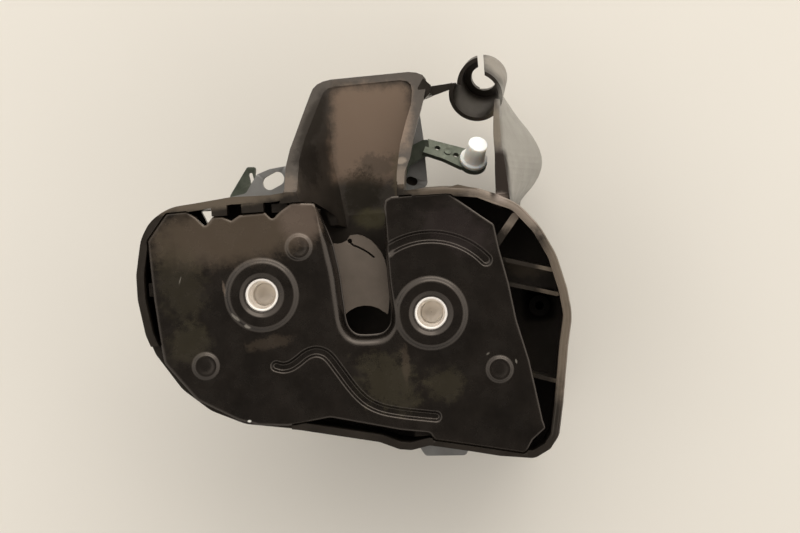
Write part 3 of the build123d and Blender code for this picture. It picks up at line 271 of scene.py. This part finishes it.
LOOKS = {
    "painted_steel": dict(dark=(0.0050, 0.0040, 0.0032), light=(0.0110, 0.0086, 0.0068), rough=(0.20, 0.32),
                          scale=60.0, grain=0.22, grain_scale=1500, specular=0.6, tint=WARM,
                          spots=PLATE_SPOTS),
    "black_plastic": dict(dark=(0.0110, 0.0090, 0.0070), light=(0.0210, 0.0168, 0.0130), rough=(0.28, 0.40),
                          grain=0.3, grain_scale=3500, specular=0.42, tint=WARM,
                          spots=THROAT_SPOTS + RIM_SPOTS + WEB_SPOTS),
    "zinc_steel": dict(dark=(0.22, 0.21, 0.195), light=(0.31, 0.30, 0.28), rough=(0.35, 0.5), metal=0.35,
                       grain=0.2),
    "bright_zinc": dict(dark=(0.86, 0.80, 0.73), light=(0.94, 0.88, 0.80), rough=(0.25, 0.38), metal=0.15,
                        grain=0.15),
    "dark_steel": dict(dark=(0.10, 0.09, 0.08), light=(0.18, 0.17, 0.15), rough=(0.35, 0.5), metal=0.8,
                       grain=0.2),
    "fork_plastic": dict(dark=(0.068, 0.054, 0.042), light=(0.096, 0.077, 0.061), rough=(0.50, 0.62),
                         grain=0.3, tint=WARM),
    "spring_steel": dict(dark=(0.25, 0.24, 0.22), light=(0.40, 0.38, 0.35), rough=(0.3, 0.42), metal=0.9),
    "rubber": dict(dark=(0.012, 0.012, 0.012), light=(0.022, 0.022, 0.022), rough=(0.7, 0.85)),
    "switch_plastic": dict(dark=(0.02, 0.02, 0.024), light=(0.035, 0.035, 0.04), rough=(0.35, 0.5)),
    "grey_plastic": dict(dark=(0.24, 0.23, 0.21), light=(0.32, 0.31, 0.29), rough=(0.45, 0.6)),
    "green_zinc": dict(dark=(0.068, 0.078, 0.056), light=(0.125, 0.132, 0.100), rough=(0.35, 0.5), metal=0.6,
                       scale=220.0, grain=0.2),
    "white_plastic": dict(dark=(0.93, 0.84, 0.76), light=(0.97, 0.89, 0.81), rough=(0.45, 0.55), scatter=1.0),
    "motor_can": dict(dark=(0.45, 0.45, 0.44), light=(0.58, 0.58, 0.57), rough=(0.25, 0.35), metal=0.95),
    "contact_brass": dict(dark=(0.55, 0.42, 0.20), light=(0.70, 0.56, 0.30), rough=(0.25, 0.35), metal=1.0),
}
MATS = {name: material(name, **look) for name, look in LOOKS.items()}


# Objects and meshes
def place_object(name, data):
    o = bpy.data.objects.new(name, data)
    bpy.context.scene.collection.objects.link(o)
    return o


def mesh_of(name, verts, faces):
    """A mesh from points in millimetres."""
    mesh = bpy.data.meshes.new(name)
    mesh.from_pydata([tuple(c * MM for c in v) for v in verts], [], faces)
    return mesh


def make_piece(name, verts, faces, slot):
    """A smooth-shaded piece that rides on the case."""
    mesh = mesh_of(name, verts, faces)
    mesh.validate()
    for p in mesh.polygons:
        p.use_smooth = True
    mesh.materials.append(MATS[slot])
    o = place_object(name, mesh)
    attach(o, "case")
    return o


# In metres: points nearer than this are one, and the round on an edge sharper than this angle
WELD = 2e-6
SMALL_EDGE = 0.00025
SHARP = math.radians(30.0)


def weld(o):
    o.modifiers.new("weld", "WELD").merge_threshold = WELD


def finish_mesh(o, width=SMALL_EDGE, segments=2):
    """Welds a mesh, rounds its sharp edges a little and shades it smooth."""
    for p in o.data.polygons:
        p.use_smooth = True
    weld(o)
    bevel = o.modifiers.new("bevel", "BEVEL")
    bevel.width = width
    bevel.segments = segments
    bevel.limit_method = "ANGLE"
    bevel.angle_limit = SHARP
    bevel.harden_normals = True
    o.modifiers.new("wn", "WEIGHTED_NORMAL").keep_sharp = True


def skin(rows, count):
    """Faces over rows of as many points each, closed round every row, with a cap at either end."""
    faces = [tuple(reversed(range(count)))]
    for low in range(0, count * (rows - 1), count):
        for k in range(count):
            j = (k + 1) % count
            faces.append((low + k, low + j, low + count + j, low + count + k))
    faces.append(tuple(range(count * (rows - 1), count * rows)))
    return faces


# Outlines, in millimetres
# A corner's round takes at most this share of its shorter side; a corner nearly straight has none
LONGEST_CUT = 0.47
NEARLY_STRAIGHT = math.radians(179.0)
TURN_STEP = math.radians(12.0)


def rounded(points, step):
    """Points along an open line with rounded corners; each point given is x, y and its corner's radius."""
    out = [Vector(points[0][:2])]
    for before, (x, y, r), after in zip(points, points[1:], points[2:]):
        corner = Vector((x, y))
        u, v = Vector(before[:2]) - corner, Vector(after[:2]) - corner
        longest = LONGEST_CUT * min(u.length, v.length)
        u.normalize()
        v.normalize()
        half = math.acos(max(-1.0, min(1.0, u.dot(v)))) / 2
        if half > NEARLY_STRAIGHT / 2:
            out.append(corner)
            continue
        cut = min(r / math.tan(half), longest)
        r = cut * math.tan(half)
        mid = corner + (u + v).normalized() * (r / math.sin(half))
        p, q = corner + u * cut, corner + v * cut
        start, end = (math.atan2(e.y - mid.y, e.x - mid.x) for e in (p, q))
        turn = (end - start + math.pi) % (2 * math.pi) - math.pi
        k = max(2, int(abs(turn) * r / step) + 1, int(abs(turn) / TURN_STEP))
        for j in range(k + 1):
            a = start + turn * j / k
            out.append(mid + r * Vector((math.cos(a), math.sin(a))))
    out.append(Vector(points[-1][:2]))
    full = []
    for p, q in zip(out, out[1:]):
        k = max(1, int((q - p).length / step))
        full += [p.lerp(q, j / k) for j in range(k)]
    return full + [out[-1]]


def spline(points, step=0.5):
    """A smooth line through the points; further columns are carried along."""
    pts = np.array(points, float)
    last = len(pts) - 1
    out = []
    for i in range(last):
        p0, p1, p2, p3 = pts[max(i - 1, 0)], pts[i], pts[i + 1], pts[min(i + 2, last)]
        k = max(2, int(np.linalg.norm((p2 - p1)[:2]) / step))
        f = np.arange(k)[:, None] / k
        cubic = 3 * (p1 - p2) + p3 - p0
        square = 2 * p0 - 5 * p1 + 4 * p2 - p3
        out.append(p1 + 0.5 * f * (p2 - p0 + f * (square + f * cubic)))
    out.append(pts[-1:])
    return np.concatenate(out)


def distance(pts, line, closed=False):
    """Distance of each point to a line of points."""
    best = np.full(len(pts), 1e9)
    n = len(line)
    for i in range(n if closed else n - 1):
        a, b = line[i], line[(i + 1) % n]
        ab = b - a
        t = np.clip(((pts - a) @ ab) / max(ab @ ab, 1e-12), 0.0, 1.0)
        d = pts - a - t[:, None] * ab
        best = np.minimum(best, (d * d).sum(axis=1))
    return np.sqrt(best)


def radius(pts, centre):
    return np.hypot(pts[:, 0] - centre[0], pts[:, 1] - centre[1])


def inside(pts, loop):
    """Which points lie inside a closed line."""
    hit = np.zeros(len(pts), bool)
    for a, b in zip(loop, np.roll(loop, -1, axis=0)):
        if a[1] == b[1]:
            continue
        cross = (a[1] > pts[:, 1]) != (b[1] > pts[:, 1])
        hit ^= cross & (pts[:, 0] < (b[0] - a[0]) * (pts[:, 1] - a[1]) / (b[1] - a[1]) + a[0])
    return hit


# The pieces as they come from the solids
BEVEL = {"latch_housing": 0.0006, "rear_housing": 0.0004, "rear_cover": 0.0004, "fork_jacket": 0.0003,
         "rod_clip": 0.0003}
for name, o in NODES.items():
    slot = SLOT_OF[name]
    o.data.materials.clear()
    o.data.materials.append(MATS[slot])
    finish_mesh(o, BEVEL.get(name, SMALL_EDGE), 3 if name in BEVEL else 2)


# Face plate: one pressed sheet with a roll round the slot. Its outline from the slot's left side round to its
# right side: x, y and corner radius
PLATE = [
    (17.6, 26.2, 1.2), (10.7, 26.9, 1.5), (7.0, 24.4, 1.0), (4.7, 22.3, 1.0), (2.7, 24.6, 0.5),
    (-5.0, 24.4, 0.5), (-7.6, 22.9, 0.5), (-10.2, 24.3, 0.5), (-13.0, 24.5, 0.8), (-15.6, 21.7, 0.8),
    (-18.3, 24.8, 0.6), (-20.8, 26.7, 1.0), (-26.9, 26.6, 1.2), (-33.2, 18.7, 1.2), (-32.5, 0.9, 5.0),
    (-31.5, -11.8, 2.0), (-30.7, -18.3, 3.0), (-21.8, -30.0, 4.0), (-9.7, -37.0, 4.0), (-3.5, -38.9, 4.0),
    (4.8, -39.7, 2.0), (8.5, -39.4, 3.0), (17.6, -38.2, 5.0), (38.2, -43.5, 5.0), (47.2, -45.1, 1.5),
    (48.2, -47.3, 1.0), (58.9, -49.6, 4.0), (75.4, -53.4, 1.5), (77.8, -49.5, 1.0), (82.0, -46.2, 1.0),
    (81.3, -43.7, 4.0), (78.6, -25.5, 6.0), (75.7, -13.2, 6.0), (74.2, -2.0, 6.0), (72.1, 8.4, 6.0),
    (71.0, 16.1, 1.5), (67.0, 19.2, 1.5), (57.7, 26.7, 1.2), (40.8, 26.6, 0.8), (38.9, 25.6, 0.8),
    (38.4, 23.4, 1.0),
]
# Where the roll round the slot begins: x, y and the roll's width
SLOT_ROLL = [
    (38.7, 21.6, 0.2), (39.0, 18.6, 0.9), (39.1, 13.0, 1.2), (39.0, 7.6, 1.3), (39.2, 0.0, 1.4),
    (39.7, -5.0, 1.7), (40.1, -10.0, 2.2), (39.7, -13.2, 2.6), (37.9, -16.0, 3.0), (35.6, -17.4, 3.2),
    (32.9, -17.9, 3.3), (29.0, -17.8, 3.3), (26.0, -17.2, 3.3), (23.4, -15.4, 3.3), (21.6, -12.6, 3.3),
    (20.8, -9.4, 3.3), (20.5, -5.8, 3.4), (20.2, -2.0, 3.4), (19.9, 2.0, 3.5), (19.5, 6.0, 3.5),
    (18.9, 9.6, 3.5), (18.5, 13.2, 3.3), (18.3, 16.4, 2.6), (18.2, 19.6, 1.7), (18.1, 22.6, 0.9),
    (17.9, 25.0, 0.2),
]
# The roll and its lip in section: share of the roll's width, height, share of the sheet's height it keeps
ROLL_STEPS = 12
ROLL_DEPTH = 4.5
ROLL_SECTION = [(0.93 * math.sin(a), -ROLL_DEPTH * (1 - math.cos(a)), 1 - k / ROLL_STEPS)
                for k, a in ((k, math.pi / 2 * k / ROLL_STEPS) for k in range(1, ROLL_STEPS + 1))]
ROLL_SECTION += [(0.95, -4.75, 0), (1.0, -4.85, 0), (1.06, -4.9, 0), (1.08, -4.98, 0), (1.04, -5.05, 0)]
SHEET_BOTTOM = -1.95
WALL_SECTION = [(0.0, -0.5, 0.8), (0.0, -1.2, 0.4), (0.0, SHEET_BOTTOM, 0.0)]
# The cut edge turns down a little
EDGE_DROP = 0.34
EDGE_WIDTH = 0.7

BUSHES = ((0.0, 0.0), (50.2, -9.2))
DIMPLES = ((12.1, 13.5), (-18.3, -20.0), (69.5, -27.5))
# Steps round a centre: height, radius of the flat, width of the slope
BOSS_STEPS = ((1.25, 9.5, 1.7), (-0.85, 5.3, 1.5))
DIMPLE_STEPS = ((0.85, 3.1, 1.1), (-0.2, 1.2, 1.7))
HOLE_R = 5.05
HOLE_POINTS = 72

S_LINE = [(2.6, -21.6), (4.6, -22.2), (6.8, -21.9), (9.2, -20.6), (11.5, -19.0), (13.6, -18.2), (15.6, -18.2),
          (17.6, -19.1), (19.2, -20.8), (21.6, -24.5), (24.6, -29.2), (27.4, -32.8), (30.2, -35.2),
          (34.2, -37.1), (40.1, -38.6), (46.0, -39.7), (49.4, -40.3)]
ARC_R = 23.0
ARC_LINE = [(BUSHES[1][0] + ARC_R * math.cos(a), BUSHES[1][1] + ARC_R * math.sin(a))
            for a in (math.radians(40.0 + 6.25 * k) for k in range(14))]
# Each groove's line and half its width
GROOVES = [(spline(S_LINE), 1.8), (spline(ARC_LINE), 2.1)]
GROOVE_DEPTH = 1.15
GROOVE_SLOPE = 1.15
GROOVE_STEP = 0.45

# Spacing of the sheet's points: rows inside its cut edge and inside its roll, and rings round the centres
PLAIN_ROWS = (0.12, 0.3, 0.6, 1.1)
ROLL_ROWS = (0.6, 1.2)
BOSS_RINGS = [5.35 + 0.26 * k for k in range(25)]
DIMPLE_RINGS = [0.5, 1.1, 1.6] + [2.0 + 0.22 * k for k in range(13)]
# How far the plain grid stays away from the centres, the grooves and the edge
BOSS_FREE = 12.2
DIMPLE_FREE = 5.1
GROOVE_FREE = 0.7
EDGE_FREE = 1.4
HOLE_FREE = 5.2


def plateau(d, flat, slope):
    """1 up to a distance, then smoothly down to 0."""
    t = np.clip((d - flat) / slope, 0.0, 1.0)
    return 1 - t * t * (3 - 2 * t)


def sheet_height(pts):
    """Height of the sheet: bosses, dimples, grooves and the slight waviness that pressing leaves."""
    x, y = pts[:, 0], pts[:, 1]
    z = 0.05 * np.sin(x / 9.0 + 1.3) * np.cos(y / 11.0) + 0.03 * np.sin(x / 5.1 - y / 6.3)
    for centres, steps in ((BUSHES, BOSS_STEPS), (DIMPLES, DIMPLE_STEPS)):
        for c in centres:
            r = radius(pts, c)
            z += sum(height * plateau(r, flat, slope) for height, flat, slope in steps)
    for line, half in GROOVES:
        z -= GROOVE_DEPTH * plateau(distance(pts, line), half - GROOVE_SLOPE, GROOVE_SLOPE)
    return z


def ring_points(c, radii, count):
    """Rings of points round a centre, every other one turned by half a step."""
    k = np.arange(count)
    rows = []
    for i, r in enumerate(radii):
        a = 2 * math.pi * (k + 0.5 * (i % 2)) / count
        rows.append(np.stack([c[0] + r * np.cos(a), c[1] + r * np.sin(a)], axis=1))
    return np.concatenate(rows)


def groove_points(line, half):
    """Rows of points along a groove, closest together on its slopes."""
    t = line[1:] - line[:-1]
    t /= np.linalg.norm(t, axis=1)[:, None]
    side = np.stack([-t[:, 1], t[:, 0]], axis=1)
    rows = [line]
    for d in [GROOVE_STEP] + [half - 1.2 + 0.2 * k for k in range(8)]:
        rows += [line[:-1] + side * d, line[:-1] - side * d]
        for end in (line[0], line[-1]):
            rows.append(ring_points(end, [d], max(10, int(2 * math.pi * d / GROOVE_STEP))))
    return np.concatenate(rows)


def plate_outline():
    """The sheet's edge, the way outwards at each point, where the slot's roll begins and its widths."""
    plain = np.array([tuple(p) for p in rounded(PLATE, 0.6)])
    roll = spline(SLOT_ROLL, 0.45)
    edge = np.concatenate([plain, roll[:, :2]])
    n, first = len(edge), len(plain)
    ahead = np.roll(edge, -1, axis=0) - np.roll(edge, 1, axis=0)
    ahead /= np.linalg.norm(ahead, axis=1)[:, None]
    outward = np.stack([ahead[:, 1], -ahead[:, 0]], axis=1)
    along_roll = slice(first + 2, n - 2)
    for _ in range(3):
        mid = np.roll(outward, 1, axis=0) + outward * 2 + np.roll(outward, -1, axis=0)
        mid = mid[along_roll]
        outward[along_roll] = mid / np.linalg.norm(mid, axis=1)[:, None]
    return edge, outward, first, roll[:, 2]


def plate_points(edge, outward, first):
    """All points of the flat sheet: its edge, rows inside it, the holes, the formed places and a grid."""
    border = [edge]
    for part, depths in ((slice(first), PLAIN_ROWS), (slice(first, None), ROLL_ROWS)):
        for depth in depths:
            row = (edge - outward * depth)[part]
            border.append(row[distance(row, edge, True) > depth * 0.93])
    hole_start = sum(len(p) for p in border)
    border += [ring_points(c, [HOLE_R], HOLE_POINTS) for c in BUSHES]

    formed = [ring_points(c, BOSS_RINGS, 90) for c in BUSHES]
    formed += [ring_points(c, DIMPLE_RINGS, 48) for c in DIMPLES]
    formed += [groove_points(line, half) for line, half in GROOVES]

    gx, gy = np.meshgrid(np.arange(-36, 86), np.arange(-56, 30))
    grid = np.stack([(gx + 0.5 * (gy % 2)).ravel(), gy.ravel()], axis=1).astype(float)
    plain = np.ones(len(grid), bool)
    for c in BUSHES:
        plain &= radius(grid, c) > BOSS_FREE
    for c in DIMPLES:
        plain &= radius(grid, c) > DIMPLE_FREE
    for line, half in GROOVES:
        plain &= distance(grid, line) > half + GROOVE_FREE

    free = np.concatenate(formed + [grid[plain]])
    free = free[inside(free, edge) & (distance(free, edge, True) > EDGE_FREE)]
    for c in BUSHES:
        free = free[radius(free, c) > HOLE_FREE]
    return np.concatenate(border + [free]), hole_start


def plate_faces(points, edge, hole_start):
    """The sheet's points and triangles, without those outside its edge or in its holes."""
    loops = [(0, len(edge))] + [(hole_start + HOLE_POINTS * k, HOLE_POINTS) for k in range(len(BUSHES))]
    borders = [(start + i, start + (i + 1) % count) for start, count in loops for i in range(count)]
    flat, _, faces, source, _, _ = delaunay_2d_cdt([Vector(p) for p in points], borders, [], 0, 1e-5)
    where = {k: i for i, ks in enumerate(source) for k in ks}
    flat = np.array([tuple(v) for v in flat])
    middle = np.array([flat[list(f)].mean(axis=0) for f in faces])
    keep = inside(middle, edge)
    for c in BUSHES:
        keep &= radius(middle, c) > HOLE_R - 0.02
    return flat, [tuple(f) for f, good in zip(faces, keep) if good], where


def face_plate():
    edge, outward, first, roll_width = plate_outline()
    n = len(edge)
    points, hole_start = plate_points(edge, outward, first)
    flat, faces, where = plate_faces(points, edge, hole_start)
    near = distance(flat, edge[:first])
    height = sheet_height(flat) - EDGE_DROP * (1 - np.minimum(near / EDGE_WIDTH, 1.0)) ** 2
    verts = [(x, y, z) for (x, y), z in zip(flat, height)]

    def strip(ids, section, width):
        """Faces that follow a section outwards and down from a part of the edge."""
        above = [where[i] for i in ids]
        top = [verts[i][2] for i in above]
        for share, z, kept in section:
            row = []
            for i, t in zip(ids, top):
                x, y = edge[i] + outward[i] * share * width[i]
                row.append(len(verts))
                verts.append((x, y, z + t * kept))
            faces.extend(zip(above, row, row[1:], above[1:]))
            above = row

    width = np.zeros(n)
    width[first:] = roll_width
    strip([(k - 1) % n for k in range(first + 2)], WALL_SECTION, width)
    strip(list(range(first, n)), ROLL_SECTION, width)
    for k in range(len(BUSHES)):
        ids = [where[hole_start + HOLE_POINTS * k + i] for i in range(HOLE_POINTS)]
        below = list(range(len(verts), len(verts) + HOLE_POINTS))
        verts += [(*verts[i][:2], SHEET_BOTTOM) for i in ids]
        faces.extend(zip(ids, ids[1:] + ids[:1], below[1:] + below[:1], below))
    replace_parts(make_piece("face_plate_sheet", verts, faces, "painted_steel"), "face_plate")


face_plate()


# The closed bottom of each bush's thread, a shallow drilled cone: radius and height
END_SECTION = [(0.5, -12.0), (3.38, -12.0), (3.38, -8.9), (3.0, -9.2), (2.2, -9.5), (0.5, -9.8)]
END_POINTS = 40


def bush_ends():
    verts, faces = [], []
    for x, y in BUSHES:
        base = len(verts)
        for r, z in END_SECTION:
            for a in (2 * math.pi * k / END_POINTS for k in range(END_POINTS)):
                verts.append((x + r * math.cos(a), y + r * math.sin(a), z))
        faces += [[base + i for i in face] for face in skin(len(END_SECTION), END_POINTS)]
    make_piece("bush_ends", verts, faces, "bright_zinc")


bush_ends()


# What is cut off the cable cup's mouth on the left of its slit: two corners of a box
SCOOP = ((61.0, 61.2, -41.5), (70.9, 78.0, -15.0))


def scooped_cup():
    (x0, y0, z0), (x1, y1, z1) = SCOOP
    corners = [(x, y, z) for z in (z0, z1) for x, y in ((x0, y0), (x1, y0), (x1, y1), (x0, y1))]
    box_faces = [(3, 2, 1, 0), (4, 5, 6, 7), (0, 1, 5, 4), (1, 2, 6, 5), (2, 3, 7, 6), (3, 0, 4, 7)]
    tool = place_object("scoop", mesh_of("scoop", corners, box_faces))
    o = NODES["cable_holder"].copy()
    o.name = "cable_holder_scooped"
    bpy.context.scene.collection.objects.link(o)
    o.modifiers.clear()
    weld(o)
    cut = o.modifiers.new("cut", "BOOLEAN")
    cut.operation = "DIFFERENCE"
    cut.solver = "EXACT"
    cut.object = tool
    mesh = bpy.data.meshes.new_from_object(o.evaluated_get(bpy.context.evaluated_depsgraph_get()))
    o.modifiers.clear()
    o.data = mesh
    bpy.data.objects.remove(tool)
    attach(o, "case")
    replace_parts(o, "cable_holder")
    finish_mesh(o)


scooped_cup()


# The rim's right side, rounded and worn soft: x, y and corner radius
RIM_RIGHT = [
    (82.9, -52.4, 3.0), (85.3, -49.0, 5.0), (87.3, -39.1, 20.0), (90.1, -21.8, 20.0), (92.0, -12.9, 18.0),
    (91.1, -5.0, 18.0), (88.6, 5.4, 22.0), (84.4, 14.1, 22.0), (78.6, 21.2, 16.0), (72.2, 24.6, 12.0),
    (66.4, 26.9, 12.0), (57.3, 28.1, 10.0), (47.0, 28.2, 1.0),
]
# Its section: how far outside that line, and height
RIM_SECTION = [
    (-1.85, 0.45), (-1.75, 0.56), (-1.2, 0.62), (-0.7, 0.60), (-0.25, 0.48), (0.1, 0.22), (0.32, -0.2),
    (0.44, -0.8), (0.5, -1.6), (0.52, -2.6), (0.40, -2.9), (-0.3, -3.0), (-1.0, -1.0),
]
RIM_LEVEL = 0.45
FADE_ROWS = 6


def rim_bead():
    """A rounded bead over the rim, which fades into the flat rim at either end."""
    path = rounded(RIM_RIGHT, 0.8)
    last = len(path) - 1
    verts = []
    for i, p in enumerate(path):
        d = (path[min(i + 1, last)] - path[max(i - 1, 0)]).normalized()
        fade = min(1.0, i / FADE_ROWS, (last - i) / FADE_ROWS)
        for out, z in RIM_SECTION:
            out = min(out, out * fade)
            z = min(z, RIM_LEVEL + (z - RIM_LEVEL) * fade)
            verts.append((p.x + d.y * out, p.y - d.x * out, z))
    make_piece("rim_bead", verts, skin(len(path), len(RIM_SECTION)), "black_plastic")


rim_bead()


# Table, light and camera
def table_top():
    half = 1.5
    low = min(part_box(n)[0].z for n in NODES)
    mesh = bpy.data.meshes.new("table")
    mesh.from_pydata([(-half, -half, low), (half, -half, low), (half, half, low), (-half, half, low)], [],
                     [(0, 1, 2, 3)])
    m, nt, shader = new_material("table_paint")
    paint = ramp(nt, noise(nt, 6.0, 3.0, 0.5), [(0.3, (0.735, 0.69, 0.615)), (0.75, (0.765, 0.72, 0.645))])
    nt.links.new(paint.outputs[0], shader.inputs["Base Color"])
    shader.inputs["Roughness"].default_value = 0.5
    mesh.materials.append(m)
    place_object("table", mesh)


table_top()


def window():
    light = bpy.data.lights.new("window", "AREA")
    light.shape = "RECTANGLE"
    light.size, light.size_y = 1.2, 0.7
    light.energy = 6.0
    light.color = (1.0, 0.975, 0.93)
    o = place_object("window", light)
    o.location = (0.35, 1.10, 0.60)
    target = Vector((0.03, 0.0, 0.0))
    o.rotation_euler = (target - o.location).to_track_quat("-Z", "Y").to_euler()


window()


def room():
    """Soft light, brighter from the window's side, with a dark patch overhead that the flat plate mirrors."""
    world = bpy.data.worlds.new("room")
    world.use_nodes = True
    nt = world.node_tree
    sky = nt.nodes["Background"]
    place = nt.nodes.new("ShaderNodeTexCoord").outputs["Generated"]

    def along(direction):
        return vector(nt, "DOT_PRODUCT", place, Vector(direction).normalized()).outputs["Value"]

    overhead = ramp(nt, along((0.06, -0.10, 1.0)), [(0.78, (1.0, 1.0, 1.0)), (0.95, (0.05, 0.05, 0.05))])
    overhead.color_ramp.interpolation = "EASE"
    side = spread(nt, along((0.45, 0.9, 0.0)), (-1.0, 1.0), (0.76, 1.75))
    power = mixed(nt, 1.0, overhead.outputs[0], side, "MULTIPLY")
    warm = mixed(nt, 1.0, power, rgba((1.0, 0.975, 0.94)), "MULTIPLY")
    nt.links.new(warm, sky.inputs[0])
    sky.inputs[1].default_value = 1.06
    bpy.context.scene.world = world


room()

# Camera: the picture's width in pixels, metres for one pixel at the plate, and the camera's height above it
PICTURE = 800
PIXEL = 0.00030
HEIGHT = 0.60


def camera():
    cam = bpy.data.cameras.new("camera")
    cam.sensor_width = 36.0
    cam.lens = cam.sensor_width * HEIGHT / (PICTURE * PIXEL)
    cam.shift_x = -100 / PICTURE
    cam.shift_y = -46.5 / PICTURE
    cam.clip_start = 0.05
    o = place_object("camera", cam)
    o.location = (0.0729, 0.0171, HEIGHT)
    o.rotation_euler = (0, 0, math.radians(-4.3))
    bpy.context.scene.camera = o


camera()

view = bpy.context.scene.view_settings
view.view_transform = "Standard"
view.look = "None"
view.exposure = 0.0
